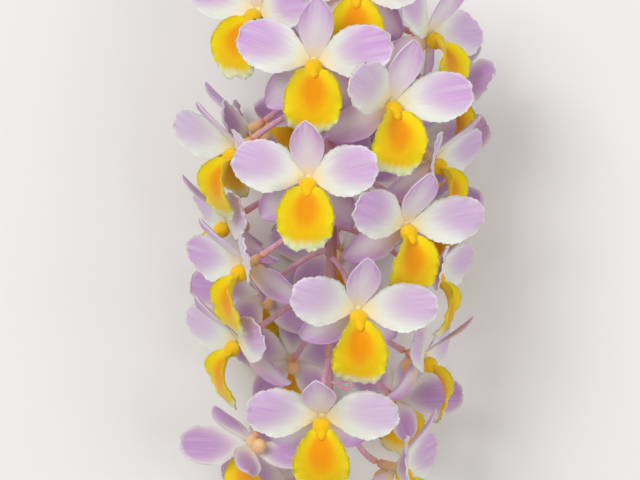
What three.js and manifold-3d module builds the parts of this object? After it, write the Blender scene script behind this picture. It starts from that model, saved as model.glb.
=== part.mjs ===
// A cut flower spray of a pendulous dendrobium orchid, lying on its back on a flat surface.
// Millimetres. +Y runs up the stem to its cut end, +Z is up off the surface, and z = 0 is the
// surface. Every flower has lilac and white tepals, a golden lip and a blunt chin behind. The
// flowers at the back are pressed a little flat where they carry the spray.

import * as THREE from 'three';
import { mergeVertices } from 'three/addons/utils/BufferGeometryUtils.js';
import Module from 'manifold-3d';

const wasm = await Module();
wasm.setup();

// ---------------------------------------------------------------- driving dimensions

const SEED = 29;
const BLADE = 0.8; // thickness of every petal, sepal and lip
const LEAST_WALL = 0.7; // what is left of it where the surface flattens a blade
const GAP = 0.35; // between a flower and its stalk
const MIDDLE = [1.4, 9.6]; // the spray's middle, which the origin lies under

// A blade is a unit disc stretched to length and width and then bent. Lists such as rise are
// stops of [share of the length, value], with straight lines between them.
//   waist, claw, widest: half width at the base, where it starts to widen, and where it is widest
//   widening: a higher power keeps the blade narrow for longer
//   tip: the two powers that round the end, notch: depth of the dent in the end
//   rise: how far the midrib points out of the flower's plane, in degrees, + to the front
//   cup: how far each edge turns to the front, in degrees
//   ruffle, waves: height and number of the waves along each edge
const DORSAL = {
  length: 23.5, width: 11.4, start: 1.4, waist: 0.37, claw: 0, widest: 0.56, tip: [1.8, 0.75],
  notch: 0, rise: [[0, 30], [0.3, 40], [1, 34]], cup: [[0, 10], [0.5, 14], [1, 40]],
  ruffle: 0.25, waves: 1.5, widening: 1.5, outer: 8, inner: 3,
};
const PETAL = {
  length: 26.5, width: 16.8, start: 1.4, waist: 0.12, claw: 0, widest: 0.52, tip: [2.1, 0.55],
  notch: 0.9, rise: [[0, 26], [0.45, 22], [1, 12]], cup: [[0, 14], [0.5, 10], [1, -14]],
  ruffle: 0.8, waves: 2.2, widening: 1.2, outer: 10, inner: 4,
};
const LATERAL = {
  length: 23, width: 12.4, start: 1.4, waist: 0.3, claw: 0, widest: 0.46, tip: [1.8, 0.7],
  notch: 0, rise: [[0, -12], [0.3, -30], [1, -42]], cup: [[0, -8], [0.5, 4], [1, 70]],
  ruffle: 0.4, waves: 1.6, widening: 1.5, outer: 8, inner: 3,
};
const LIP = {
  length: 24.5, width: 18.6, start: 0, waist: 0.15, claw: 0.02, widest: 0.46, tip: [2.2, 0.5],
  notch: 2, rise: [[0, 40], [0.25, 36], [0.45, 14], [0.75, -16], [1, -44]],
  cup: [[0, 20], [0.12, 76], [0.28, 60], [0.5, 18], [0.7, 0], [1, -20]],
  ruffle: 0.8, waves: 4.2, widening: 0.65, outer: 11, inner: 4,
};

// A flower's plane is its own x and y, and its z is to the front. TURNS says which way each blade
// points, in degrees from x, and DEPTHS how far in front of the middle it starts.
const TURNS = { dorsal: 90, rightPetal: 16, leftPetal: 164, rightLateral: -42, leftLateral: 222 };
const DEPTHS = { dorsal: -0.4, rightPetal: 0.1, leftPetal: 0.1, rightLateral: -1, leftLateral: -1 };
const LIP_BASE = [0, -1.8, 2.9]; // where the lip's claw starts, inside the column

// The column and the ovary are bars through the middle, along their own axes, with radii at equal
// steps. The column is a rounded hood that narrows to its small cap.
const CHIN = { centre: [0, -2.7, -4.3], radii: [2.4, 2.8, 3.1], sides: 5 };
const COLUMN = { axis: [0, -0.74, 1], front: 8, back: 1.7, radii: [2.1, 2.9, 1.5], sides: 5 };
const OVARY = { axis: [0, 0.35, -1], front: 1, length: 6.8, radii: [3.3, 1.25], sides: 5 };
const SLIVER = 0.25; // edges that are shorter than this after a join are closed up

// A stalk leaves the stem drop above the flower's back, and lead long it runs straight at each end.
const STALK = { radius: 0.95, sides: 4, steps: 3, drop: 13, lead: 9 };
const STEM = {
  path: [[2, 122, 36], [1, 98, 38.5], [-0.6, 60, 40], [0.4, 20, 41], [0, -20, 41], [-1, -60, 40], [-2, -96, 39]],
  radii: [[0, 2.5], [0.2, 2.1], [0.7, 1.6], [0.94, 1.3], [1, 0.5]],
  sides: 7,
  steps: 18,
};

// Each flower: name, [x, y, z] of its centre, then degrees: turn to the right (yaw), nod down,
// roll, and the size against the full one. bends turns single blades to the front or back.
const FLOWERS = [
  ['A', [-5.5, 56.4, 73], 2, 0, -3, 1],
  ['B', [19.2, 43.4, 71], 24, 3, -6, 0.98, { leftPetal: 12 }],
  ['C', [-7.2, 19, 73], -3, 2, -2, 0.98, { rightPetal: 7 }],
  ['D', [24, 4.4, 66], 28, 10, -2, 0.95],
  ['E', [8.4, -22.6, 73], 12, 14, -2, 0.97],
  ['F', [-3, -56.6, 72], -1, 21, 0, 0.98],
  ['G', [-23.5, 73.4, 58], -38, 0, -8, 0.96],
  ['H', [8, 79.4, 65], 0, 4, 0, 0.96, { leftPetal: -12, leftLateral: 12, rightPetal: 11 }],
  ['I', [31.7, 66, 51], 60, -5, -8, 0.94, { leftPetal: -11 }],
  ['J', [-30.5, 29.2, 54], -61, 14, -12, 0.94],
  ['K', [-34, 5.6, 33], -82, 14, -12, 0.92, { rightPetal: -25 }],
  ['L', [-27.8, -8.6, 60], -62, 11, -3, 0.94],
  ['M', [-30.2, -33.2, 44], -69, 14, -13, 0.92, { rightPetal: -20 }],
  ['N', [-26.5, -67.2, 34], -142, 26, -5, 0.86],
  ['O', [33.5, 26, 49], 70, 13, 3, 0.9],
  ['P', [32.8, -11, 47], 79, 8, 2, 0.88],
  ['Q', [30.2, -39, 40], 88, 4, 0, 0.9, { leftPetal: -30, dorsal: 8, rightLateral: 8 }],
  ['R', [21.5, -52.5, 19], 150, 0, 12, 0.84],
  ['S', [21.5, -75, 44], 80, 2, 0, 0.98],
  ['T', [-13, -40, 12.4], 190, -8, 5, 0.82, { rightPetal: -30 }],
  ['U', [2, -3, 10], 180, 0, 0, 0.9, { lip: 12 }],
  ['V', [-27, 36, 26], -110, 12, -5, 0.92, { rightPetal: -20, leftLateral: 10 }],
  ['W', [-22.6, -18.5, 13.2], -160, 5, 0, 0.92, { leftPetal: -28 }],
  ['X', [30, 31.6, 15.2], 155, 5, 0, 0.88],
  ['Y', [37, 49, 31], 112, 10, 0, 0.88, { rightLateral: 14 }],
  ['Z', [30, 8, 25], 125, 10, 0, 0.86, { rightPetal: -8 }],
  ['AA', [-7, 42.2, 10], 180, 0, 50, 0.88],
  ['AB', [-13, -82, 11.4], -160, 5, 0, 0.9],
  ['AC', [2, 72, 10], 180, 0, 0, 0.9],
];

const FINISH = {
  tepals: { color: 0xe0cfe6, roughness: 0.62, metalness: 0 },
  lip: { color: 0xf7c312, roughness: 0.7, metalness: 0 },
  stem: { color: 0xa5767a, roughness: 0.6, metalness: 0 },
};

// ---------------------------------------------------------------- small maths

const radians = THREE.MathUtils.degToRad;

// The value at t on a list of [t, value] stops.
function along(stops, t) {
  const next = stops.findIndex((stop) => stop[0] >= t);
  if (next <= 0) return stops[Math.max(next, 0)][1];
  const [[t0, v0], [t1, v1]] = [stops[next - 1], stops[next]];
  return v0 + ((v1 - v0) * (t - t0)) / (t1 - t0);
}

// Repeatable draws between -1 and 1, one chain for each flower.
function draws(seed) {
  const MODULUS = 2147483647;
  let state = (seed * 7919 + 104729) % MODULUS;
  return () => {
    state = (state * 16807) % MODULUS;
    return (2 * state) / MODULUS - 1;
  };
}

// ---------------------------------------------------------------- blades

// Half width of a blade at t, against its widest.
function halfWidth(form, t) {
  if (t > form.widest) {
    const past = (t - form.widest) / (1 - form.widest);
    return Math.pow(1 - Math.pow(past, form.tip[0]), form.tip[1]);
  }
  const grown = Math.min(Math.max((t - form.claw) / (form.widest - form.claw), 0), 1);
  return form.waist + (1 - form.waist) * Math.sin((Math.PI / 2) * grown) ** form.widening;
}

// How far the midrib has come at t: [outwards in the flower's plane, to the front].
function midrib(form, t, lift) {
  const STEPS = 24;
  let [out, front] = [form.start, 0];
  for (let i = 0; i < STEPS; i += 1) {
    const rise = radians(along(form.rise, (t * (i + 0.5)) / STEPS) + lift);
    out += (form.length * t * Math.cos(rise)) / STEPS;
    front += (form.length * t * Math.sin(rise)) / STEPS;
  }
  return [out, front];
}

// The middle surface of a blade: (a, b) is a point of the unit disc, b = -1 at the base. own holds
// this blade's turn in the flower and its own share of lift, cup, twist and phase.
function bladePoint(form, own, a, b) {
  const t = (1 + b) / 2;
  const v = a / Math.sqrt(Math.max(1 - b * b, 1e-9));
  const half = (form.width / 2) * halfWidth(form, t);
  const dent = form.notch * Math.exp(-((v * 3.2) ** 2)) * Math.max(b, 0) ** 8;
  const [out, front] = midrib(form, Math.max(t - dent / form.length, 0), own.lift);
  const rise = radians(along(form.rise, t) + own.lift);

  const cup = radians(along(form.cup, t) + own.cup) + 1e-4;
  const waves = Math.sin(Math.PI * form.waves * t + own.phase + (v > 0 ? 1.3 : 0));
  const flatAcross = (half * Math.sin(cup * v)) / cup;
  const flatUp = (half * (1 - Math.cos(cup * v))) / cup + form.ruffle * Math.abs(v) ** 3 * t * waves;
  const twist = radians(own.twist) * t;
  const across = flatAcross * Math.cos(twist) - flatUp * Math.sin(twist);
  const up = flatAcross * Math.sin(twist) + flatUp * Math.cos(twist);

  const far = out - up * Math.sin(rise);
  const turn = radians(own.turn);
  return new THREE.Vector3(
    own.base[0] + far * Math.cos(turn) + across * Math.sin(turn),
    own.base[1] + far * Math.sin(turn) - across * Math.cos(turn),
    own.base[2] + front + up * Math.cos(rise),
  );
}

// Unit disc points in rings round the middle, from the tip, and the triangles between them.
function discPattern(outer, inner) {
  const points = [];
  const ring = (count, radius) =>
    Array.from({ length: count }, (_, i) => {
      const angle = (2 * Math.PI * i) / count;
      points.push([radius * Math.sin(angle), radius * Math.cos(angle)]);
      return points.length - 1;
    });
  const rim = ring(outer, 1);
  const core = ring(inner, inner > 3 ? 0.56 : 0.42);
  const faces = [];
  for (let [i, j] = [0, 0]; i < outer || j < inner; ) {
    const [a, b] = [rim[i % outer], core[j % inner]];
    if (j >= inner || (i < outer && (i + 1) / outer <= (j + 1) / inner)) {
      faces.push([a, b, rim[(i + 1) % outer]]);
      i += 1;
    } else {
      faces.push([a, b, core[(j + 1) % inner]]);
      j += 1;
    }
  }
  if (inner > 3) {
    points.push([0, 0]);
    for (let j = 0; j < inner; j += 1) faces.push([core[j], points.length - 1, core[(j + 1) % inner]]);
  } else {
    faces.push([core[0], core[2], core[1]]);
  }
  return { points, faces, rim };
}

// A closed blade: the bent sheet thickened to both sides. settle keeps it off the surface.
function bladeSolid(form, own, settle) {
  const { points, faces, rim } = discPattern(form.outer, form.inner);
  const NEAR = 0.02;
  const position = [];
  const under = points.length;
  const pairs = points.map(([a, b]) => {
    const [ra, rb] = [a * (1 - NEAR), b * (1 - NEAR)];
    const middle = bladePoint(form, own, a, b);
    const sideways = bladePoint(form, own, ra + NEAR / 2, rb).sub(bladePoint(form, own, ra - NEAR / 2, rb));
    const onward = bladePoint(form, own, ra, rb + NEAR / 2).sub(bladePoint(form, own, ra, rb - NEAR / 2));
    const normal = sideways.cross(onward).normalize().multiplyScalar(BLADE / 2);
    return settle(middle.clone().add(normal), middle.clone().sub(normal));
  });
  pairs.forEach(([front]) => position.push(...front.toArray()));
  pairs.forEach(([, back]) => position.push(...back.toArray()));
  const index = [];
  for (const [a, b, c] of faces) index.push(a, b, c, a + under, c + under, b + under);
  rim.forEach((a, i) => {
    const b = rim[(i + 1) % rim.length];
    index.push(a, b, b + under, a, b + under, a + under);
  });
  return toSolid(geometryOf(position, index));
}

// ---------------------------------------------------------------- solids

function geometryOf(position, index) {
  const geometry = new THREE.BufferGeometry();
  geometry.setAttribute('position', new THREE.BufferAttribute(new Float32Array(position), 3));
  geometry.setIndex(index);
  return geometry;
}

function toSolid(geometry) {
  const bare = geometry.clone();
  bare.deleteAttribute('normal');
  bare.deleteAttribute('uv');
  const merged = mergeVertices(bare, 1e-4);
  const vertProperties = new Float32Array(merged.attributes.position.array);
  const triVerts = new Uint32Array(merged.index.array);
  const solid = new wasm.Manifold(new wasm.Mesh({ numProp: 3, vertProperties, triVerts }));
  if (solid.volume() < 0) throw new Error('a solid is inside out');
  return solid;
}

function toMesh(name, solid, finish) {
  const { vertProperties, triVerts } = solid.simplify(SLIVER).getMesh();
  const geometry = geometryOf(vertProperties, new THREE.BufferAttribute(triVerts, 1));
  geometry.computeVertexNormals();
  const mesh = new THREE.Mesh(geometry, new THREE.MeshStandardMaterial(finish));
  mesh.name = name;
  return mesh;
}

function ellipsoid({ centre, radii, sides }) {
  const geometry = new THREE.SphereGeometry(1, sides, 3);
  geometry.rotateX(Math.PI / 2);
  geometry.scale(...radii);
  geometry.translate(...centre);
  return toSolid(geometry);
}

// A round bar along a curve, with a radius that may change, closed flat at both ends.
function bar(curve, radiusAt, sides, steps) {
  const { normals, binormals } = curve.computeFrenetFrames(steps, false);
  const position = [];
  const index = [];
  for (let i = 0; i <= steps; i += 1) {
    const centre = curve.getPointAt(i / steps);
    for (let j = 0; j < sides; j += 1) {
      const angle = (2 * Math.PI * (j + 0.5)) / sides;
      const spoke = normals[i].clone().multiplyScalar(Math.cos(angle));
      spoke.addScaledVector(binormals[i], Math.sin(angle)).multiplyScalar(radiusAt(i / steps));
      position.push(...centre.clone().add(spoke).toArray());
    }
  }
  for (let i = 0; i < steps; i += 1) {
    for (let j = 0; j < sides; j += 1) {
      const [a, b] = [i * sides + j, i * sides + ((j + 1) % sides)];
      index.push(a, b, b + sides, a, b + sides, a + sides);
    }
  }
  const last = steps * sides;
  for (let j = 1; j < sides - 1; j += 1) index.push(0, j + 1, j, last, last + j, last + j + 1);
  return toSolid(geometryOf(position, index));
}

// ---------------------------------------------------------------- flowers

function flowerGroup([name, place, yaw, nod, roll, size]) {
  const flower = new THREE.Group();
  flower.position.set(...place);
  flower.rotation.set(radians(nod), radians(yaw), radians(roll), 'YXZ');
  flower.scale.setScalar(size);
  flower.updateMatrix();
  flower.userData.name = name;
  return flower;
}

// Lifts the two sides of a blade so that it lies on the surface and keeps its wall.
function settler(flower) {
  const back = flower.matrix.clone().invert();
  return (front, rear) => {
    const pair = [front.applyMatrix4(flower.matrix), rear.applyMatrix4(flower.matrix)];
    const [low, high] = front.z < rear.z ? pair : [rear, front];
    if (low.z < 0) {
      low.z = 0;
      high.z = Math.max(high.z, LEAST_WALL);
    }
    return pair.map((point) => point.applyMatrix4(back));
  };
}

function ownBlade(turn, base, draw, bend = 0) {
  return {
    turn: turn + 4 * draw(),
    base,
    lift: 5 * draw() + bend,
    cup: 8 * draw(),
    twist: 9 * draw(),
    phase: Math.PI * draw(),
  };
}

// A bar through the flower's middle, along axis from one distance from it to another.
function throughBar({ axis, radii, sides }, from, to) {
  const way = new THREE.Vector3(...axis).normalize();
  const path = new THREE.LineCurve3(way.clone().multiplyScalar(from), way.clone().multiplyScalar(to));
  const steps = radii.length - 1;
  return bar(path, (t) => radii[Math.round(t * steps)], sides, steps);
}

function buildFlower(flower, bends, draw) {
  const settle = settler(flower);
  const forms = { dorsal: DORSAL, rightPetal: PETAL, leftPetal: PETAL, rightLateral: LATERAL, leftLateral: LATERAL };
  let tepals = ellipsoid(CHIN).add(throughBar(OVARY, -OVARY.front, OVARY.length));
  for (const [part, form] of Object.entries(forms)) {
    const own = ownBlade(TURNS[part], [0, 0, DEPTHS[part]], draw, bends[part]);
    tepals = tepals.add(bladeSolid(form, own, settle));
  }
  const own = ownBlade(-90, LIP_BASE, draw, bends.lip);
  own.turn = -90;
  const lip = throughBar(COLUMN, COLUMN.back, COLUMN.front).add(bladeSolid(LIP, own, settle));
  const name = flower.userData.name;
  flower.add(toMesh(`flower_${name}_tepals`, tepals, FINISH.tepals));
  flower.add(toMesh(`flower_${name}_lip`, lip, FINISH.lip));
}

// ---------------------------------------------------------------- stem

// The stalk of one flower, from the stem's middle to the back of the flower.
function stalk(flower, stemCurve) {
  const axis = new THREE.Vector3(...OVARY.axis).normalize();
  const size = flower.scale.x;
  const end = axis.clone().multiplyScalar(OVARY.length + GAP / size).applyMatrix4(flower.matrix);
  const before = axis.clone().multiplyScalar(OVARY.length + STALK.lead).applyMatrix4(flower.matrix);
  const root = stemAt(stemCurve, end.y + STALK.drop);
  const leaving = new THREE.Vector3(end.x - root.x, 0, end.z - root.z).setLength(STALK.lead);
  const curve = new THREE.CubicBezierCurve3(root, root.clone().add(leaving), before, end);
  return bar(curve, () => STALK.radius, STALK.sides, STALK.steps);
}

// The point of the stem at height y.
function stemAt(curve, y) {
  let [high, low] = [0, 1];
  for (let i = 0; i < 30; i += 1) {
    const middle = (high + low) / 2;
    if (curve.getPointAt(middle).y > y) high = middle;
    else low = middle;
  }
  return curve.getPointAt(high);
}

function stemMesh(flowers) {
  const curve = new THREE.CatmullRomCurve3(STEM.path.map((point) => new THREE.Vector3(...point)));
  let solid = bar(curve, (t) => along(STEM.radii, t), STEM.sides, STEM.steps);
  for (const flower of flowers) solid = solid.add(stalk(flower, curve));
  return toMesh('stem', solid, FINISH.stem);
}

// ---------------------------------------------------------------- the spray

const spray = new THREE.Group();
spray.name = 'dendrobium_spray';
spray.position.set(-MIDDLE[0], -MIDDLE[1], 0);
const flowers = FLOWERS.map(flowerGroup);
flowers.forEach((flower, i) => buildFlower(flower, FLOWERS[i][6] ?? {}, draws(SEED + i)));
flowers.forEach((flower) => spray.add(flower));
spray.add(stemMesh(flowers));

export default spray;
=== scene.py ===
"""A cut spray of a pendulous dendrobium orchid, lying on its back: the looks.

Every flower and the stem are built again here, finer than their solids and by the same rules:
a blade is a unit disc stretched to length and width and bent along rise and cup. Lengths in the
tables are millimetres and angles degrees; meshes are in metres.
"""

import math

import bmesh
import bpy
import numpy as np
from bpy.props import FloatProperty, FloatVectorProperty, IntProperty, PointerProperty
from mathutils import Matrix, Vector


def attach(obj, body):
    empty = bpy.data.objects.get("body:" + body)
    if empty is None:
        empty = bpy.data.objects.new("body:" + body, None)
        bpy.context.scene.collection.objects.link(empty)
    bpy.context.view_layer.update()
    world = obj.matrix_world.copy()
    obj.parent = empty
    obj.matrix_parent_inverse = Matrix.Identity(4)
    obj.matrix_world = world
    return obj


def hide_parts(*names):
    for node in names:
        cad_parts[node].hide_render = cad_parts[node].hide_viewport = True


bl_info = {
    "name": "Dendrobium spray",
    "version": (1, 0, 0),
    "blender": (4, 5, 0),
    "location": "View3D > Sidebar > Spray",
    "description": "Builds the flowers, the stem and the stage of a cut dendrobium spray",
    "category": "Add Mesh",
}

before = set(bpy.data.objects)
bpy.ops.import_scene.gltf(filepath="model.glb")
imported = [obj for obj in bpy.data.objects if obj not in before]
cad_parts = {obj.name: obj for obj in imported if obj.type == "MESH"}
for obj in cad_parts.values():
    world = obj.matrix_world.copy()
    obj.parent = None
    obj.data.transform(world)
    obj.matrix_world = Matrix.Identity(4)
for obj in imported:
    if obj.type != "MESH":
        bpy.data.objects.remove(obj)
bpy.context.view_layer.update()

# ------------------------------------------------------------------ the spray's own sizes

MM = 0.001
SEEDS = {"shape": 29, "tepal look": 129, "lip look": 229}
MIDDLE = (1.4, 9.6)  # the middle of the spray, where the frame has its origin

# The forms of the blades. A blade lies off the flower's middle by start. Its base has the share
# waist of its width, it has all of it at widest, and it rounds off to its tip, which may have a
# notch. Rise and cup are stops along it: how steeply it comes to the front, and how far its sides
# fold up. Ruffle and waves bend the sides, erose and teeth nibble the edge, and frill and frills
# ripple it.
DORSAL = {
    "length": 23.5, "width": 11.4, "start": 1.4, "waist": 0.37, "claw": 0, "widest": 0.56,
    "tip": (2.1, 0.66), "notch": 0, "rise": ((0, 30), (0.3, 40), (1, 34)),
    "cup": ((0, 10), (0.5, 14), (1, 40)), "ruffle": 0.25, "waves": 1.5, "widening": 1.5,
    "columns": 20, "rows": 30, "erose": 0.08, "teeth": (23, 37, 61), "frill": 0.05, "frills": 9,
}
PETAL = {
    "length": 26.5, "width": 16.8, "start": 1.4, "waist": 0.12, "claw": 0, "widest": 0.52,
    "tip": (2.1, 0.55), "notch": 0.9, "rise": ((0, 26), (0.45, 22), (1, 12)),
    "cup": ((0, 14), (0.5, 10), (1, -14)), "ruffle": 0.8, "waves": 2.2, "widening": 1.2,
    "columns": 28, "rows": 36, "erose": 0.4, "teeth": (11, 31, 57), "frill": 0.28, "frills": 13,
}
LATERAL = {
    "length": 23, "width": 12.4, "start": 1.4, "waist": 0.3, "claw": 0, "widest": 0.46,
    "tip": (1.8, 0.7), "notch": 0, "rise": ((0, -12), (0.3, -30), (1, -42)),
    "cup": ((0, -8), (0.5, 4), (1, 70)), "ruffle": 0.4, "waves": 1.6, "widening": 1.5,
    "columns": 20, "rows": 30, "erose": 0.08, "teeth": (23, 37, 61), "frill": 0.05, "frills": 9,
}
LIP = {
    "length": 24.5, "width": 18.6, "start": 0, "waist": 0.15, "claw": 0.02, "widest": 0.46,
    "tip": (2.2, 0.5), "notch": 2, "rise": ((0, 40), (0.25, 36), (0.45, 14), (0.75, -16), (1, -44)),
    "cup": ((0, 20), (0.12, 76), (0.28, 60), (0.5, 18), (0.7, 0), (1, -20)),
    "ruffle": 0.8, "waves": 4.2, "widening": 0.65,
    "columns": 40, "rows": 48, "erose": 0.6, "teeth": (13, 27, 53), "frill": 0.36, "frills": 17,
}
TURNS = {"dorsal": 90, "rightPetal": 16, "leftPetal": 164, "rightLateral": -42, "leftLateral": 222}
DEPTHS = {"dorsal": -0.4, "rightPetal": 0.1, "leftPetal": 0.1, "rightLateral": -1, "leftLateral": -1}
FORMS = {
    "dorsal": DORSAL, "rightPetal": PETAL, "leftPetal": PETAL,
    "rightLateral": LATERAL, "leftLateral": LATERAL,
}
# How far single blades stray from their form.
SPREAD = {"turn": 4, "lift": 5, "cup": 8, "twist": 9}
LIP_BASE = (0, -1.8, 2.9)
CHIN = {"centre": (0, -2.7, -4.3), "radii": (2.4, 2.8, 3.1), "blunt": 0.12}
COLUMN = {
    "axis": (0, -0.74, 1), "front": 8.3, "back": 0.4,
    "radii": ((0, 1.9), (0.2, 2.8), (0.4, 3.0), (0.55, 2.6), (0.66, 1.65), (0.84, 1.65), (1, 1.35)),
}
OVARY = {
    "axis": (0, 0.35, -1), "front": 0.4, "length": 6.8, "past": 0.2,
    "radii": (3, 1.25), "taper": 0.55, "nose": ((0, 0.5), (0.2, 1)),
}
FRINGE = {
    "reach": 2.5, "stray": 0.4, "root": 0.985, "inside": 0.94, "splay": 0.35,
    "mean": 0.75, "spread": 0.35, "middle": 0.4, "radii": (0.13, 0.03),
}
SUNK = 0.5  # how deep a stalk's end sits in the ovary
FLAT = 0.5  # what is left of a blade that is pressed on the surface

STALK = {
    "radius": 0.95, "drop": 13, "lead": 9,
    "swell": ((0, 1.5), (0.12, 1.05), (0.3, 0.92), (0.8, 1), (1, 1.3)),
}
STEM = {
    "path": ((2, 122, 36), (1, 98, 38.5), (-0.6, 60, 40), (0.4, 20, 41), (0, -20, 41),
             (-1, -60, 40), (-2, -96, 39)),
    "radii": ((0, 2.5), (0.2, 2.1), (0.7, 1.6), (0.94, 1.3), (1, 0.5)),
}
BRACT = {"length": 2.9, "width": 1.6, "thick": 0.4, "lean": 0.9, "taper": 0.55, "above": 0.3}
# The old stalk of a flower that has dropped, curled into a small loop.
CURL = {
    "path": ((-0.7, -46, 40.4), (1.2, -46.7, 41.2), (3.4, -46.4, 41.8), (5.6, -46, 42),
             (6.8, -47.2, 42.2), (6, -48.6, 42), (4, -48.4, 41.6), (2.6, -47.9, 41.4)),
    "radius": 0.6,
}

# Each flower: name, centre, then yaw, nod and roll, the size, and bends of single blades.
FLOWERS = (
    ("A", (-5.5, 56.4, 73), 2, 0, -3, 1, {}),
    ("B", (19.2, 43.4, 71), 24, 3, -6, 0.98, {"leftPetal": 12}),
    ("C", (-7.2, 19, 73), -3, 2, -2, 0.98, {"rightPetal": 7}),
    ("D", (24, 4.4, 66), 28, 10, -2, 0.95, {}),
    ("E", (8.4, -22.6, 73), 12, 14, -2, 0.97, {}),
    ("F", (-3, -56.6, 72), -1, 21, 0, 0.98, {}),
    ("G", (-23.5, 73.4, 58), -38, 0, -8, 0.96, {}),
    ("H", (8, 79.4, 65), 0, 4, 0, 0.96, {"leftPetal": -12, "leftLateral": 12, "rightPetal": 11}),
    ("I", (31.7, 66, 51), 60, -5, -8, 0.94, {"leftPetal": -11}),
    ("J", (-30.5, 29.2, 54), -61, 14, -12, 0.94, {}),
    ("K", (-34, 5.6, 33), -82, 14, -12, 0.92, {"rightPetal": -25}),
    ("L", (-27.8, -8.6, 60), -62, 11, -3, 0.94, {}),
    ("M", (-30.2, -33.2, 44), -69, 14, -13, 0.92, {"rightPetal": -20}),
    ("N", (-26.5, -67.2, 34), -142, 26, -5, 0.86, {}),
    ("O", (33.5, 26, 49), 70, 13, 3, 0.9, {}),
    ("P", (32.8, -11, 47), 79, 8, 2, 0.88, {}),
    ("Q", (30.2, -39, 40), 88, 4, 0, 0.9, {"leftPetal": -30, "dorsal": 8, "rightLateral": 8}),
    ("R", (21.5, -52.5, 19), 150, 0, 12, 0.84, {}),
    ("S", (21.5, -75, 44), 80, 2, 0, 0.98, {}),
    ("T", (-13, -40, 12.4), 190, -8, 5, 0.82, {"rightPetal": -30}),
    ("U", (2, -3, 10), 180, 0, 0, 0.9, {"lip": 12}),
    ("V", (-27, 36, 26), -110, 12, -5, 0.92, {"rightPetal": -20, "leftLateral": 10}),
    ("W", (-22.6, -18.5, 13.2), -160, 5, 0, 0.92, {"leftPetal": -28}),
    ("X", (30, 31.6, 15.2), 155, 5, 0, 0.88, {}),
    ("Y", (37, 49, 31), 112, 10, 0, 0.88, {"rightLateral": 14}),
    ("Z", (30, 8, 25), 125, 10, 0, 0.86, {"rightPetal": -8}),
    ("AA", (-7, 42.2, 10), 180, 0, 50, 0.88, {}),
    ("AB", (-13, -82, 11.4), -160, 5, 0, 0.9, {}),
    ("AC", (2, 72, 10), 180, 0, 0, 0.9, {}),
)

# Each light: its place and size in metres, and its power against the main light's.
LIGHTS = {
    "key_light": ((-0.55, 0.5, 1.1), 0.7, 1),
    "fill_light": ((0.7, -0.2, 1.0), 1.0, 0.45),
}
VIEW = {"shown": 204.8, "front": 66, "aside": -3.5, "sensor": 36}

TABLE = np.linspace(0, 1, 121)  # where a list of stops is read
MERGE = 1e-4  # points closer than this are one point
TINY = 1e-6  # keeps a division or a rounding off its limit


# ------------------------------------------------------------------ settings


def colour(label, red, green, blue):
    """A colour setting, given as it looks on a screen."""
    return FloatVectorProperty(
        name=label, description=f"Colour of {label.lower()}", subtype="COLOR_GAMMA",
        default=(red / 255, green / 255, blue / 255), min=0, max=1,
    )


class FlowerSettings(bpy.types.PropertyGroup):
    thickness: FloatProperty(
        name="Blade thickness", description="Thickness of petals, sepals and lips",
        default=0.5 * MM, min=0.2 * MM, max=2 * MM, subtype="DISTANCE", unit="LENGTH",
    )
    fringe: FloatProperty(
        name="Fringe length", description="Length of the fine hairs on the lip's edge",
        default=0.75 * MM, min=0, max=2 * MM, subtype="DISTANCE", unit="LENGTH",
    )
    hairs: IntProperty(
        name="Fringe hairs", description="Number of hairs round one lip", default=420, min=0, max=2000,
    )
    lilac: colour("Petal lilac", 207, 155, 217)
    white: colour("Petal white", 237, 241, 232)
    cream: colour("Petal base", 250, 236, 186)
    back: colour("Petal back", 194, 152, 206)
    chin: colour("Chin and ovary", 250, 208, 150)
    gold: colour("Lip gold", 253, 200, 3)
    orange: colour("Lip throat", 245, 138, 0)
    lime: colour("Lip lower edge", 243, 245, 196)


class StemSettings(bpy.types.PropertyGroup):
    sides: IntProperty(name="Sides", description="Sides of a stalk", default=14, min=5, max=48)
    rachis: colour("Stem skin", 192, 138, 150)
    stalk: colour("Stalk skin", 230, 178, 198)
    bract: colour("Bract", 202, 160, 128)


class StageSettings(bpy.types.PropertyGroup):
    lens: FloatProperty(
        name="Lens", description="Focal length in millimetres", default=200, min=20, max=500,
    )
    key: FloatProperty(
        name="Key light", description="Power of the main light", default=8.8, min=0, unit="POWER",
    )
    room: FloatProperty(
        name="Room light", description="Strength of the light from all sides", default=0.42, min=0,
    )
    floor: colour("Floor", 240, 240, 237)


# ------------------------------------------------------------------ small maths


def draws(seed):
    """Repeatable draws between -1 and 1, one chain for each flower."""
    modulus, factor, apart, first = 2147483647, 16807, 7919, 104729
    state = (seed * apart + first) % modulus
    while True:
        state = state * factor % modulus
        yield 2 * state / modulus - 1


def rounded(stops):
    """The values of a list of stops along TABLE, with its corners rounded."""
    reach = 5
    where, what = zip(*stops)
    values = np.pad(np.interp(TABLE, where, what), 2 * reach, mode="edge")
    window = np.ones(2 * reach + 1) / (2 * reach + 1)
    return np.convolve(np.convolve(values, window, "valid"), window, "valid")


def half_width(form, t):
    """Half width of a blade at t, against its widest."""
    past = np.clip((t - form["widest"]) / (1 - form["widest"]), 0, 1)
    after = np.power(1 - np.power(past, form["tip"][0]), form["tip"][1])
    grown = np.clip((t - form["claw"]) / (form["widest"] - form["claw"]), 0, 1)
    before = form["waist"] + (1 - form["waist"]) * np.sin(math.pi / 2 * grown) ** form["widening"]
    return np.where(t > form["widest"], after, before)


def midrib(form, lift):
    """How far the midrib has come along TABLE: outwards, and to the front."""
    rise = np.radians(rounded(form["rise"]) + lift)
    step = form["length"] * TABLE[1]

    def summed(rates):
        return np.concatenate(([0], np.cumsum((rates[1:] + rates[:-1]) / 2) * step))

    return form["start"] + summed(np.cos(rise)), summed(np.sin(rise))


def closed(share, sharpness):
    """1 along a bar and 0 at both of its ends, rounded the less the sharper it is."""
    return np.sqrt(np.clip(1 - np.abs(2 * share - 1) ** sharpness, 0, 1))


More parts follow.
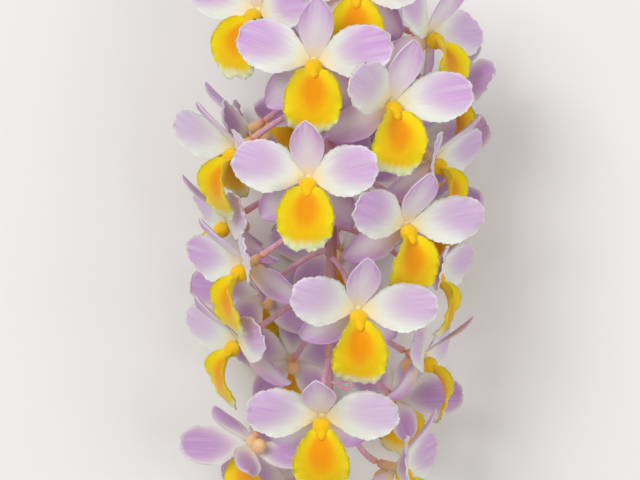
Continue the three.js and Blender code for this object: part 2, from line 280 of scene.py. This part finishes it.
def side_of(a, b):
    """Where a point of the unit disc lies across it, from -1 to 1."""
    return np.clip(a / np.sqrt(np.maximum(1 - b * b, TINY)), -1, 1)


def blade_points(form, own, a, b):
    """The middle surface of a blade at points (a, b) of the unit disc, with b = -1 at the base."""
    notch_narrow, notch_short, never_flat = 3.2, 8, 1e-4
    one_side_late, crossing = 1.3, 12
    t, v = (1 + b) / 2, side_of(a, b)
    half = form["width"] / 2 * half_width(form, t)
    dent = form["notch"] * np.exp(-((a * notch_narrow) ** 2)) * np.maximum(b, 0) ** notch_short
    out, front = midrib(form, own["lift"])
    reached = np.clip(t - dent / form["length"], 0, 1)
    out, front = np.interp(reached, TABLE, out), np.interp(reached, TABLE, front)
    rise = np.radians(np.interp(t, TABLE, rounded(form["rise"])) + own["lift"])

    cup = np.radians(np.interp(t, TABLE, rounded(form["cup"])) + own["cup"]) + never_flat
    lag = one_side_late / (1 + np.exp(-crossing * v))
    waves = np.sin(math.pi * form["waves"] * t + own["phase"] + lag)
    flat_across = half * np.sin(cup * v) / cup
    flat_up = half * (1 - np.cos(cup * v)) / cup + form["ruffle"] * np.abs(v) ** 3 * t * waves
    twist = math.radians(own["twist"]) * t
    across = flat_across * np.cos(twist) - flat_up * np.sin(twist)
    up = flat_across * np.sin(twist) + flat_up * np.cos(twist)

    far = out - up * np.sin(rise)
    turn = math.radians(own["turn"])
    return np.stack((
        own["base"][0] + far * math.cos(turn) + across * math.sin(turn),
        own["base"][1] + far * math.sin(turn) - across * math.cos(turn),
        own["base"][2] + front + up * np.cos(rise),
    ), axis=1)


def unit(rows):
    """Each row at length one."""
    return rows / np.maximum(np.linalg.norm(rows, axis=1, keepdims=True), TINY)


def own_blade(turn, base, draw, bend=0):
    """One blade's own share of turn, lift, cup, twist and phase, drawn in this order."""
    own = {name: most * next(draw) for name, most in SPREAD.items()}
    own["phase"] = math.pi * next(draw)
    own["turn"] += turn
    own["lift"] += bend
    own["base"] = base
    return own


def placed(flower):
    """The matrix from a flower's own millimetres to metres in the frame."""
    _, centre, yaw, nod, roll, size, _ = flower
    turned = (
        Matrix.Rotation(math.radians(yaw), 4, "Y")
        @ Matrix.Rotation(math.radians(nod), 4, "X")
        @ Matrix.Rotation(math.radians(roll), 4, "Z")
    )
    return in_frame() @ Matrix.Translation(centre) @ turned @ Matrix.Scale(size, 4)


def in_frame():
    """The matrix from the spray's millimetres to metres in the frame."""
    return Matrix.Scale(MM, 4) @ Matrix.Translation((-MIDDLE[0], -MIDDLE[1], 0))


# ------------------------------------------------------------------ meshes


def new_piece():
    """An empty bmesh with the numbers that the materials read at each point."""
    bm = bmesh.new()
    for name in ("vein", "along", "rim", "tint"):
        bm.verts.layers.float.new(name)
    return bm


def write(bm, verts, name, values):
    """Stores one number at each of the points."""
    layer = bm.verts.layers.float[name]
    for vert, value in zip(verts, np.broadcast_to(values, len(verts))):
        vert[layer] = float(value)


def move_to(verts, points):
    """Puts the points where they belong."""
    for vert, point in zip(verts, points):
        vert.co = point


def faces_of(verts):
    """The faces whose corners are all among the points."""
    inside = set(verts)
    return [f for f in {f for v in verts for f in v.link_faces} if inside.issuperset(f.verts)]


def paint(faces, slot):
    """Gives the faces one of the piece's materials."""
    for face in faces:
        face.material_index = slot


def add_blade(bm, form, own, look, slots, thickness, mirror=1):
    """One bent blade with a front and a back. look is a chain of draws for its edge and tint."""
    inside, shift = 0.96, 3
    nibble_fade, frill_fade, whole_base, calm_base = 24, 7, 0.7, 0.8
    made = bmesh.ops.create_grid(bm, x_segments=form["columns"], y_segments=form["rows"], size=1)
    verts = made["verts"]
    x, y = np.array([v.co[:2] for v in verts]).T
    a, b = x * np.sqrt(1 - y * y / 2), y * np.sqrt(1 - x * x / 2)
    radius = np.sqrt(a * a + b * b)
    angle = np.arctan2(a, b)

    points = blade_points(form, own, a, b)
    outward = unit(points - blade_points(form, own, a * inside, b * inside))
    nibbles = sum(np.sin(k * angle + shift * next(look)) for k in form["teeth"]) / len(form["teeth"])
    nibbled = radius**nibble_fade * (b > -whole_base)
    points += outward * (form["erose"] * nibbles * nibbled)[:, None]
    move_to(verts, points)
    faces = faces_of(verts)
    bm.normal_update()
    normals = np.array([v.normal for v in verts])
    frilled = radius**frill_fade * np.clip(b + calm_base, 0, 1)
    frill = form["frill"] * frilled * np.sin(form["frills"] * angle + shift * next(look))
    move_to(verts, points + normals * (frill + thickness / 2)[:, None])

    write(bm, verts, "vein", np.where(b < 0, side_of(a, b), a) * mirror)
    write(bm, verts, "along", (1 + b) / 2)
    write(bm, verts, "rim", radius)
    write(bm, verts, "tint", next(look))
    front_slot, back_slot = slots
    paint(faces, front_slot)
    add_back(bm, verts, faces, normals * thickness, back_slot)


def add_back(bm, verts, faces, depths, slot):
    """Closes a sheet into a thin shell, each point of its back as far behind as its depth."""
    depth_at = {vert.co.to_tuple(): Vector(depth) for vert, depth in zip(verts, depths)}
    edges = list({edge for face in faces for edge in face.edges})
    shell = bmesh.ops.extrude_face_region(bm, geom=faces + edges, use_keep_orig=True)["geom"]
    rear = [item for item in shell if isinstance(item, bmesh.types.BMFace)]
    for vert in (item for item in shell if isinstance(item, bmesh.types.BMVert)):
        vert.co -= depth_at[vert.co.to_tuple()]
    paint(rear, slot)
    bmesh.ops.recalc_face_normals(bm, faces=faces + rear)


def add_tube(bm, centres, across, upward, radii, slot, sides):
    """A closed round bar through the centres. Both ends shrink to a point."""
    rows = len(centres)
    made = bmesh.ops.create_grid(bm, x_segments=sides, y_segments=rows - 1, size=1)
    verts = made["verts"]
    x, y = np.array([v.co[:2] for v in verts]).T
    turn = math.pi * (x + 1)
    row = np.rint((y + 1) / 2 * (rows - 1)).astype(int)
    side = np.rint((x + 1) / 2 * sides).astype(int) % sides
    spokes = across[row] * np.cos(turn)[:, None] + upward[row] * np.sin(turn)[:, None]
    swelling = radii[row] if radii.ndim == 1 else radii[row, side]
    move_to(verts, centres[row] + spokes * swelling[:, None])
    write(bm, verts, "vein", np.sin(turn))
    write(bm, verts, "along", row / (rows - 1))
    paint(faces_of(verts), slot)
    bmesh.ops.remove_doubles(bm, verts=verts, dist=MERGE)
    bmesh.ops.recalc_face_normals(bm, faces=faces_of([v for v in verts if v.is_valid]))


def sweep(points):
    """Unit vectors across and up at each point of a path, carried along without spinning."""
    along = unit(np.gradient(points, axis=0))
    aslant = (0.3, 0.2, 1)
    start = np.cross(along[0], aslant)
    across = [start / np.linalg.norm(start)]
    for way in along[1:]:
        carried = across[-1] - way * np.dot(across[-1], way)
        across.append(carried / np.linalg.norm(carried))
    across = np.array(across)
    return across, np.cross(along, across)


def finish_piece(bm, name, matrix, materials, node):
    """Turns a bmesh into a piece that replaces its CAD node and rides on the spray.

    What would reach below the surface is pressed flat on it.
    """
    bm.transform(matrix)
    bm.normal_update()
    for vert in bm.verts:
        vert.co.z = max(vert.co.z, FLAT * MM if vert.normal.z > 0 else 0)
    mesh = bpy.data.meshes.new(name)
    bm.to_mesh(mesh)
    bm.free()
    mesh.shade_smooth()
    for material in materials:
        mesh.materials.append(material)
    piece = bpy.data.objects.new(name, mesh)
    bpy.context.scene.collection.objects.link(piece)
    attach(piece, "root")
    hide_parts(node)


# ------------------------------------------------------------------ flowers


def add_body(bm, slot):
    """The chin, and the ovary from the flower's middle back to the stalk."""
    rows, sides, ribs, rib_height, sharpness = 22, 18, 6, 0.05, 14
    axis = np.array(OVARY["axis"]) / np.linalg.norm(OVARY["axis"])
    share = np.linspace(0, 1, rows)
    start, end = -OVARY["front"], OVARY["length"] + OVARY["past"]
    centres = np.outer(start + share * (end - start), axis)
    wide, narrow = OVARY["radii"]
    taper = wide + (narrow - wide) * share ** OVARY["taper"]
    taper *= np.interp(share, *zip(*OVARY["nose"])) * closed(share, sharpness)
    ribbed = 1 + rib_height * np.cos(ribs * np.linspace(0, 2 * math.pi, sides, endpoint=False))
    add_tube(bm, centres, *sweep(centres), taper[:, None] * ribbed, slot, sides)

    chin = bmesh.ops.create_uvsphere(bm, u_segments=20, v_segments=14, radius=1)["verts"]
    points = np.array([v.co for v in chin])
    blunt = 1 + CHIN["blunt"] * np.clip(-points[:, 2], 0, 1)
    move_to(chin, points * CHIN["radii"] * blunt[:, None] + CHIN["centre"])
    coloured_as = 0.4
    write(bm, chin, "along", coloured_as)
    paint(faces_of(chin), slot)


def add_column(bm, slot):
    """The column: a hood that narrows to the anther cap on its front end."""
    rows, sides, round_front, blunt_back = 26, 20, 7, 30
    axis = np.array(COLUMN["axis"]) / np.linalg.norm(COLUMN["axis"])
    share = np.linspace(0, 1, rows)
    centres = np.outer(COLUMN["back"] + share * (COLUMN["front"] - COLUMN["back"]), axis)
    bulge = np.interp(share, *zip(*COLUMN["radii"]))
    ends = np.sqrt((1 - share**round_front) * (1 - (1 - share) ** blunt_back))
    add_tube(bm, centres, *sweep(centres), bulge * ends, slot, sides)


def add_fringe(bm, form, own, length, count, look, slot):
    """Fine hairs that stand out from the edge of a lip."""
    places = np.array([i + 0.5 + FRINGE["stray"] * next(look) for i in range(count)])
    angles = FRINGE["reach"] * (2 * places / count - 1)
    a, b = np.sin(angles), np.cos(angles)
    roots = blade_points(form, own, a * FRINGE["root"], b * FRINGE["root"])
    ways = unit(roots - blade_points(form, own, a * FRINGE["inside"], b * FRINGE["inside"]))
    thick, thin = FRINGE["radii"]
    for root, way, side, share in zip(roots, ways, a, (1 + b) / 2):
        way = Vector(way) + Vector((next(look), next(look), next(look))) * FRINGE["splay"]
        size = length * (FRINGE["mean"] + FRINGE["spread"] * next(look))
        middle = Matrix.Translation(Vector(root) + way * size * FRINGE["middle"])
        hair = bmesh.ops.create_cone(
            bm, cap_ends=True, segments=3, radius1=thick, radius2=thin, depth=size,
            matrix=middle @ way.to_track_quat("Z", "Y").to_matrix().to_4x4(),
        )["verts"]
        write(bm, hair, "along", share)
        write(bm, hair, "rim", 1)
        write(bm, hair, "vein", side)
        paint(faces_of(hair), slot)


def blades_of(index):
    """The five tepals' and the lip's own shares, drawn in the order of the solids."""
    bends = FLOWERS[index][-1]
    draw = draws(SEEDS["shape"] + index)
    owns = {
        part: own_blade(TURNS[part], (0, 0, DEPTHS[part]), draw, bends.get(part, 0)) for part in FORMS
    }
    owns["lip"] = own_blade(-90, LIP_BASE, draw, bends.get("lip", 0))
    owns["lip"]["turn"] = -90
    return owns


class SPRAY_OT_tepals(bpy.types.Operator):
    """Adds the sepals, petals, chin and ovary of every flower"""

    bl_idname = "spray.tepals"
    bl_label = "Add sepals and petals"

    def execute(self, context):
        settings = context.scene.spray_flowers
        thickness = settings.thickness / MM
        materials = [
            petal_material(settings), dorsal_material(settings), lateral_material(settings),
            back_material(settings), chin_material(settings),
        ]
        petal, dorsal, lateral, back, chin = range(len(materials))
        front = {
            "dorsal": dorsal, "rightPetal": petal, "leftPetal": petal,
            "rightLateral": lateral, "leftLateral": lateral,
        }
        for index, flower in enumerate(FLOWERS):
            owns = blades_of(index)
            look = draws(SEEDS["tepal look"] + index)
            bm = new_piece()
            for part, form in FORMS.items():
                mirror = -1 if part.startswith("right") else 1
                add_blade(bm, form, owns[part], look, (front[part], back), thickness, mirror)
            add_body(bm, chin)
            name = flower[0]
            finish_piece(
                bm, f"flower_{name}_petals", placed(flower), materials, f"flower_{name}_tepals",
            )
        return {"FINISHED"}


class SPRAY_OT_lips(bpy.types.Operator):
    """Adds the golden lip and the column of every flower"""

    bl_idname = "spray.lips"
    bl_label = "Add lips"

    def execute(self, context):
        settings = context.scene.spray_flowers
        materials = [lip_material(settings), lip_back_material(settings), column_material(settings)]
        front, back, column = range(len(materials))
        for index, flower in enumerate(FLOWERS):
            own = blades_of(index)["lip"]
            look = draws(SEEDS["lip look"] + index)
            bm = new_piece()
            add_blade(bm, LIP, own, look, (front, back), settings.thickness / MM)
            add_column(bm, column)
            add_fringe(bm, LIP, own, settings.fringe / MM, settings.hairs, look, front)
            name = flower[0]
            finish_piece(
                bm, f"flower_{name}_golden_lip", placed(flower), materials, f"flower_{name}_lip",
            )
        return {"FINISHED"}


# ------------------------------------------------------------------ stem


def curve_points(path, count):
    """Points along a Catmull-Rom curve through a path."""
    place = np.linspace(0, len(path) - 1 - TINY, count)
    path = np.array(path, float)
    path = np.vstack((2 * path[0] - path[1], path, 2 * path[-1] - path[-2]))
    i, s = np.floor(place).astype(int), (place % 1)[:, None]
    p0, p1, p2, p3 = (path[i + k] for k in range(4))
    return 0.5 * (
        2 * p1 + (p2 - p0) * s + (2 * p0 - 5 * p1 + 4 * p2 - p3) * s**2 + (3 * p1 - p0 - 3 * p2 + p3) * s**3
    )


def stalk_points(flower, stem):
    """Points along the stalk of one flower, from the stem to the flower's back."""
    rows = 20
    axis = Vector(OVARY["axis"]).normalized()
    matrix = in_frame().inverted() @ placed(flower)
    end = matrix @ (axis * (OVARY["length"] - SUNK))
    before = matrix @ (axis * (OVARY["length"] + STALK["lead"]))
    order = np.argsort(stem[:, 1])
    height = end.y + STALK["drop"]
    root = Vector([np.interp(height, stem[order, 1], stem[order, k]) for k in range(3)])
    leaving = Vector((end.x - root.x, 0, end.z - root.z)).normalized() * STALK["lead"]
    p = [np.array(q) for q in (root, root + leaving, before, end)]
    s = np.linspace(0, 1, rows)[:, None]
    return p[0] * (1 - s) ** 3 + 3 * p[1] * s * (1 - s) ** 2 + 3 * p[2] * s**2 * (1 - s) + p[3] * s**3


def add_bract(bm, root, way, out, slot):
    """A small dry scale that lies along the stem over the root of a stalk, out from its middle."""
    scale = bmesh.ops.create_uvsphere(bm, u_segments=14, v_segments=12, radius=1)["verts"]
    x, y, z = np.array([v.co for v in scale]).T[:, :, None]
    down, share = np.array((0, -1, 0)), (1 + z) / 2
    lean = out + BRACT["lean"] * share**2
    width = BRACT["width"] * (1 - BRACT["taper"] * share)
    points = root + (lean + BRACT["thick"] * y) * way + x * width * np.cross(down, way)
    move_to(scale, points + (z - BRACT["above"]) * BRACT["length"] * down)
    write(bm, scale, "along", share[:, 0])
    write(bm, scale, "vein", x[:, 0])
    paint(faces_of(scale), slot)


class SPRAY_OT_stem(bpy.types.Operator):
    """Adds the stem with its bracts and the stalks of all the flowers"""

    bl_idname = "spray.stem"
    bl_label = "Add stem"

    def execute(self, context):
        settings = context.scene.spray_stem
        materials = [stem_material(settings), stalk_material(settings), bract_material(settings)]
        skin, stalk, bract = range(len(materials))
        bm = new_piece()
        rows, curl_rows, sharpness = 180, 50, 90
        stem = curve_points(STEM["path"], rows)
        share = np.linspace(0, 1, rows)
        thick = np.interp(share, *zip(*STEM["radii"]))
        add_tube(bm, stem, *sweep(stem), thick * closed(share, sharpness), skin, 2 * settings.sides)
        for flower in FLOWERS:
            points = stalk_points(flower, stem)
            self.add_stalk(bm, points, STALK["radius"], stalk, settings.sides)
            out = np.interp(-points[0][1], -stem[:, 1], thick)
            add_bract(bm, points[0], unit(points[1:2] - points[:1])[0], out, bract)
        curl = curve_points(CURL["path"], curl_rows)
        self.add_stalk(bm, curl, CURL["radius"], stalk, settings.sides)
        finish_piece(bm, "stem_and_stalks", in_frame(), materials, "stem")
        return {"FINISHED"}

    def add_stalk(self, bm, points, radius, slot, sides):
        """One stalk, thicker at both ends, and closed there."""
        share, sharpness = np.linspace(0, 1, len(points)), 40
        swell = np.interp(share, *zip(*STALK["swell"])) * closed(share, sharpness)
        add_tube(bm, points, *sweep(points), radius * swell, slot, sides)


# ------------------------------------------------------------------ materials


class Wire:
    """A socket of a material, so that shader maths reads as an expression."""

    def __init__(self, shader, socket):
        self.shader, self.socket = shader, socket

    def maths(self, operation, *others):
        """A Math node on this socket and others."""
        values = {i: other for i, other in enumerate((self, *others))}
        return self.shader.add("Math", values, operation=operation)

    def __add__(self, other):
        return self.maths("ADD", other)

    def __sub__(self, other):
        return self.maths("SUBTRACT", other)

    def __rsub__(self, other):
        return self.shader.add("Math", {0: other, 1: self}, operation="SUBTRACT")

    def __mul__(self, other):
        return self.maths("MULTIPLY", other)

    def __truediv__(self, other):
        return self.maths("DIVIDE", other)

    def __pow__(self, other):
        return self.maths("POWER", other)

    def __abs__(self):
        return self.maths("ABSOLUTE")

    __radd__ = __add__
    __rmul__ = __mul__

    def step(self, low, high):
        """0 below low and 1 above high, smooth between."""
        values = {"Value": self, "From Min": low, "From Max": high, "To Min": 0.0, "To Max": 1.0}
        return self.shader.add("MapRange", values, interpolation_type="SMOOTHSTEP")


class Shader:
    """One material and the nodes in it."""

    def __init__(self, name):
        self.material = bpy.data.materials.new(name)
        self.material.use_nodes = True
        self.nodes = self.material.node_tree.nodes
        self.nodes.clear()

    def add(self, kind, values, output=0, **settings):
        """A node of that kind, its settings set first, then the values or links of its sockets."""
        node = self.nodes.new("ShaderNode" + kind)
        for key, value in settings.items():
            setattr(node, key, value)
        for key, value in values.items():
            if isinstance(value, Wire):
                self.material.node_tree.links.new(value.socket, node.inputs[key])
            else:
                node.inputs[key].default_value = value
        return Wire(self, node.outputs[output]) if node.outputs else None

    def point(self, name):
        """A number that the piece holds at each point."""
        return self.add("Attribute", {}, output="Fac", attribute_name=name)

    def place(self, x, y, z):
        """A vector from three numbers."""
        return self.add("CombineXYZ", {"X": x, "Y": y, "Z": z})

    def noise(self, where, scale, detail=2.0):
        """Noise between 0 and 1."""
        return self.add("TexNoise", {"Vector": where, "Scale": scale, "Detail": detail}, output="Fac")

    def mix(self, share, first, second):
        """One colour passing into another."""
        return self.add("Mix", {0: share, 6: first, 7: second}, output=2, data_type="RGBA")

    def surface(self, base, roughness, bump, depth, strength, **constant):
        """The Principled surface that ends the material."""
        values = {"Base Color": base, "Roughness": roughness}
        values["Normal"] = self.add("Bump", {"Height": bump, "Distance": depth, "Strength": strength})
        for key, value in constant.items():
            values[key.replace("_", " ")] = value
        shown = self.add("BsdfPrincipled", values)
        self.add("OutputMaterial", {"Surface": shown})
        return self.material


def linear(shown):
    """A screen colour as the linear colour that a node takes."""
    return (*((c / 12.92 if c < 0.04045 else ((c + 0.055) / 1.055) ** 2.4) for c in shown), 1.0)


def rgb(red, green, blue):
    """A linear colour from one as it looks on a screen."""
    return linear((red / 255, green / 255, blue / 255))


def petal_surface(shader, base, streaks):
    """The soft, faintly crystalline skin of a sepal or petal."""
    crystals = shader.noise(shader.add("TexCoord", {}, output="Object"), 2600.0)
    return shader.surface(
        base, 0.46, bump=streaks * 0.6 + crystals * 0.25, depth=0.00022, strength=0.55,
        Subsurface_Weight=0.25, Subsurface_Radius=(1.0, 0.75, 0.9), Subsurface_Scale=0.0012,
        Sheen_Weight=0.12, Specular_IOR_Level=0.35,
    )


def vein_streaks(shader, vein, along, tint, density):
    """Fine lengthwise streaks that follow the veins, from 0 to 1."""
    return shader.noise(shader.place(vein * density, along * 1.6, tint * 9), 1.0, 3.0)


def petal_material(settings):
    """Petals: white and cream, with a lilac patch towards the tip and a pale, nibbled rim."""
    s = Shader("petal_front")
    vein, along, rim, tint = (s.point(name) for name in ("vein", "along", "rim", "tint"))
    streaks = vein_streaks(s, vein, along, tint, 9.0)
    far = ((along - 0.86) / 0.62) ** 2 + ((vein - 0.16) / 1.1) ** 2 + (streaks - 0.5) * 0.7
    patch = 1 - far.step(0.1, 1.15)
    lilac = patch * (0.75 + tint * 0.16) * (0.5 + streaks * 0.9)
    white = s.mix(along.step(0.02, 0.3), linear(settings.cream), linear(settings.white))
    base = s.mix(lilac, white, linear(settings.lilac))
    base = s.mix(rim.step(0.91, 1.0) * 0.65, base, rgb(242, 240, 232))
    return petal_surface(s, base, streaks)


def dorsal_material(settings):
    """Dorsal sepal: white down the middle, lilac along the edges and at the tip."""
    s = Shader("dorsal_front")
    vein, along, rim, tint = (s.point(name) for name in ("vein", "along", "rim", "tint"))
    streaks = vein_streaks(s, vein, along, tint, 11.0)
    edge = abs(vein).step(0.05, 0.8) * along.step(0.15, 0.6)
    lilac = (0.12 + edge * 0.4 + along.step(0.45, 1.0) * 0.5) * (0.3 + streaks * 1.3)
    white = s.mix(along.step(0.0, 0.3), linear(settings.cream), rgb(242, 236, 242))
    base = s.mix(lilac, white, linear(settings.lilac))
    base = s.mix(rim.step(0.93, 1.0) * 0.5, base, rgb(240, 232, 240))
    return petal_surface(s, base, streaks)


def lateral_material(settings):
    """Lateral sepals: pale, with lilac edges and tip and a peach base."""
    s = Shader("lateral_front")
    vein, along, tint = (s.point(name) for name in ("vein", "along", "tint"))
    streaks = vein_streaks(s, vein, along, tint, 11.0)
    edge = abs(vein - 0.1).step(0.1, 0.85) * along.step(0.1, 0.6)
    lilac = (edge * 0.75 + along.step(0.6, 1.0) * 0.5) * (0.5 + streaks * 0.9)
    white = s.mix(along.step(0.0, 0.45), rgb(246, 222, 190), rgb(240, 230, 242))
    base = s.mix(lilac, white, rgb(210, 162, 218))
    return petal_surface(s, base, streaks)


def back_material(settings):
    """The backs of sepals and petals: lilac in the middle, and pale at the edge and base."""
    s = Shader("tepal_back")
    vein, along, rim, tint = (s.point(name) for name in ("vein", "along", "rim", "tint"))
    streaks = vein_streaks(s, vein, along, tint, 9.0)
    far = ((along - 0.72) / 0.6) ** 2 + (vein / 1.05) ** 2 + (streaks - 0.5) * 0.5
    lilac = (1 - far.step(0.1, 1.15)) * (0.55 + streaks * 0.7) * (1 - rim.step(0.86, 1.0) * 0.6)
    base = s.mix(lilac, rgb(232, 229, 224), linear(settings.back))
    return petal_surface(s, base, streaks)


def chin_material(settings):
    """The chin and the ovary: cream in front, then peach, with a blush towards the stalk."""
    s = Shader("chin_and_ovary")
    along = s.point("along")
    where = s.add("TexCoord", {}, output="Object")
    blush = along.step(0.55, 1.0) * 0.8 + s.noise(where, 260.0) * 0.15
    peach = s.mix(along.step(0.08, 0.32), rgb(250, 236, 170), linear(settings.chin))
    base = s.mix(blush, peach, rgb(220, 150, 140))
    return s.surface(
        base, 0.42, bump=s.noise(where, 1800.0), depth=0.0001, strength=0.4,
        Subsurface_Weight=0.3, Subsurface_Radius=(1.0, 0.6, 0.4), Subsurface_Scale=0.0015,
    )


def velvet(shader, base, roughness):
    """The felted skin of a lip."""
    where = shader.add("TexCoord", {}, output="Object")
    pile = shader.noise(where, 3400.0, 3.0) + shader.noise(where, 900.0) * 0.5
    return shader.surface(
        base, roughness, bump=pile, depth=0.00028, strength=0.8,
        Subsurface_Weight=0.3, Subsurface_Radius=(1.0, 0.55, 0.1), Subsurface_Scale=0.0015,
        Sheen_Weight=0.15, Sheen_Roughness=0.5, Specular_IOR_Level=0.15,
    )


def lip_colours(shader, settings):
    """Gold, with an orange throat, a lemon rim and a pale greenish lower edge."""
    vein, along, rim, tint = (shader.point(name) for name in ("vein", "along", "rim", "tint"))
    streaks = vein_streaks(shader, vein, along, tint, 7.0)
    far = ((along - 0.36) / 0.36) ** 2 + (vein / 0.62) ** 2 + (streaks - 0.5) * 0.3
    throat = (1 - far.step(0.0, 1.0)) * 0.75
    base = shader.mix(rim.step(0.5, 0.95), linear(settings.gold), rgb(251, 226, 20))
    base = shader.mix(throat, base, linear(settings.orange))
    low = along + rim ** 6 * 0.12 + (streaks - 0.5) * 0.14
    lime = low.step(0.76, 0.95) * along.step(0.45, 0.7)
    return shader.mix(lime, base, linear(settings.lime))


def lip_material(settings):
    """The velvety face of the lip."""
    s = Shader("lip_front")
    return velvet(s, lip_colours(s, settings), 0.72)


def lip_back_material(settings):
    """The underside of the lip: the same colours, mixed a little toward a pale warm gold. This is painted
    light, so that where the underside lies in shade it looks warm gold rather than olive.
    """
    s = Shader("lip_back")
    # painted light: the mostly shaded underside is mixed toward a pale warm gold
    return velvet(s, s.mix(0.35, lip_colours(s, settings), rgb(254, 204, 60)), 0.7)


def column_material(settings):
    """The column and its cap: golden yellow, paler at the back."""
    s = Shader("column")
    along = s.point("along")
    base = s.mix(along.step(0.1, 0.55), rgb(253, 208, 40), rgb(254, 202, 4))
    return velvet(s, base, 0.5)


def skin_material(name, shown, patch, end=None):
    """Smooth stem skin, mottled lengthwise, which may pass into an end colour."""
    s = Shader(name)
    where = s.add("TexCoord", {}, output="Object")
    stretched = s.add("Mapping", {"Vector": where, "Scale": (1.0, 0.25, 1.0)})
    mottle = s.noise(stretched, 900.0, 4.0)
    base = s.mix(mottle.step(0.35, 0.75) * 0.6, linear(shown), patch)
    if end:
        base = s.mix(s.point("along").step(0.82, 1.0), base, end)
    return s.surface(
        base, 0.5, bump=mottle, depth=0.0002, strength=0.5,
        Subsurface_Weight=0.15, Subsurface_Radius=(1.0, 0.5, 0.5), Subsurface_Scale=0.001,
    )


def stem_material(settings):
    """The main stem: dusty pink with tan patches."""
    return skin_material("stem_skin", settings.rachis, rgb(190, 140, 122))


def stalk_material(settings):
    """The flowers' stalks: pink, and peach where they meet the flower."""
    return skin_material("stalk_skin", settings.stalk, rgb(208, 146, 166), rgb(240, 180, 140))


def bract_material(settings):
    """The bracts: dry and tan, streaked lengthwise."""
    s = Shader("bract_skin")
    streaks = s.noise(s.place(s.point("vein") * 6, s.point("along") * 1.5, 0.0), 1.0, 3.0)
    base = s.mix(streaks.step(0.3, 0.7), linear(settings.bract), rgb(164, 116, 96))
    return s.surface(base, 0.65, bump=streaks, depth=0.0003, strength=0.6)


# ------------------------------------------------------------------ stage


class SPRAY_OT_stage(bpy.types.Operator):
    """Adds the floor, the lights and the camera"""

    bl_idname = "spray.stage"
    bl_label = "Add stage"

    def execute(self, context):
        settings = context.scene.spray_stage
        self.add_floor(settings)
        for name, (place, size, power) in LIGHTS.items():
            self.add_light(name, place, size, settings.key * power)
        self.add_camera(settings)
        world = bpy.data.worlds.new("soft_room")
        world.use_nodes = True
        sky = world.node_tree.nodes["Background"]
        sky.inputs["Color"].default_value = (1, 1, 1, 1)
        sky.inputs["Strength"].default_value = settings.room
        context.scene.world = world
        context.scene.view_settings.view_transform = "Standard"
        return {"FINISHED"}

    def add_floor(self, settings):
        """A wide sheet of pale paper."""
        bm = bmesh.new()
        bmesh.ops.create_grid(bm, x_segments=1, y_segments=1, size=4)
        mesh = bpy.data.meshes.new("floor")
        bm.to_mesh(mesh)
        bm.free()
        s = Shader("floor_paper")
        grain = s.noise(s.add("TexCoord", {}, output="Object"), 120.0, 5.0)
        s.surface(linear(settings.floor), 0.8, bump=grain, depth=0.0002, strength=0.2)
        mesh.materials.append(s.material)
        floor = bpy.data.objects.new("floor", mesh)
        bpy.context.scene.collection.objects.link(floor)

    def add_light(self, name, place, size, power):
        """A round soft light, turned to the spray."""
        light = bpy.data.lights.new(name, "AREA")
        light.shape, light.size, light.energy = "DISK", size, power
        lamp = bpy.data.objects.new(name, light)
        lamp.location = place
        lamp.rotation_euler = Vector(place).to_track_quat("Z", "Y").to_euler()
        bpy.context.scene.collection.objects.link(lamp)

    def add_camera(self, settings):
        """Straight above, with VIEW's width in the picture at the height of the front flowers."""
        camera = bpy.data.cameras.new("camera")
        camera.lens, camera.sensor_width = settings.lens, VIEW["sensor"]
        camera.clip_end = 20
        height = VIEW["front"] + VIEW["shown"] * settings.lens / VIEW["sensor"]
        holder = bpy.data.objects.new("camera", camera)
        holder.location = in_frame() @ Vector((VIEW["aside"], 0, height))
        bpy.context.scene.collection.objects.link(holder)
        bpy.context.scene.camera = holder


# ------------------------------------------------------------------ add-on


class SPRAY_PT_panel(bpy.types.Panel):
    """Lists the settings and the steps"""

    bl_idname = "SPRAY_PT_panel"
    bl_label = "Dendrobium spray"
    bl_space_type = "VIEW_3D"
    bl_region_type = "UI"
    bl_category = "Spray"

    def draw(self, context):
        for settings in (context.scene.spray_flowers, context.scene.spray_stem, context.scene.spray_stage):
            box = self.layout.box()
            for name in settings.__annotations__:
                box.prop(settings, name)
        for operator in OPERATORS:
            self.layout.operator(operator.bl_idname)


OPERATORS = (SPRAY_OT_tepals, SPRAY_OT_lips, SPRAY_OT_stem, SPRAY_OT_stage)
CLASSES = (FlowerSettings, StemSettings, StageSettings, *OPERATORS, SPRAY_PT_panel)


def register():
    for cls in CLASSES:
        bpy.utils.register_class(cls)
    bpy.types.Scene.spray_flowers = PointerProperty(type=FlowerSettings)
    bpy.types.Scene.spray_stem = PointerProperty(type=StemSettings)
    bpy.types.Scene.spray_stage = PointerProperty(type=StageSettings)


def unregister():
    for name in ("spray_flowers", "spray_stem", "spray_stage"):
        delattr(bpy.types.Scene, name)
    for cls in reversed(CLASSES):
        bpy.utils.unregister_class(cls)


def main():
    """Builds everything."""
    register()
    bpy.ops.spray.tepals()
    bpy.ops.spray.lips()
    bpy.ops.spray.stem()
    bpy.ops.spray.stage()


if __name__ == "__main__":
    main()
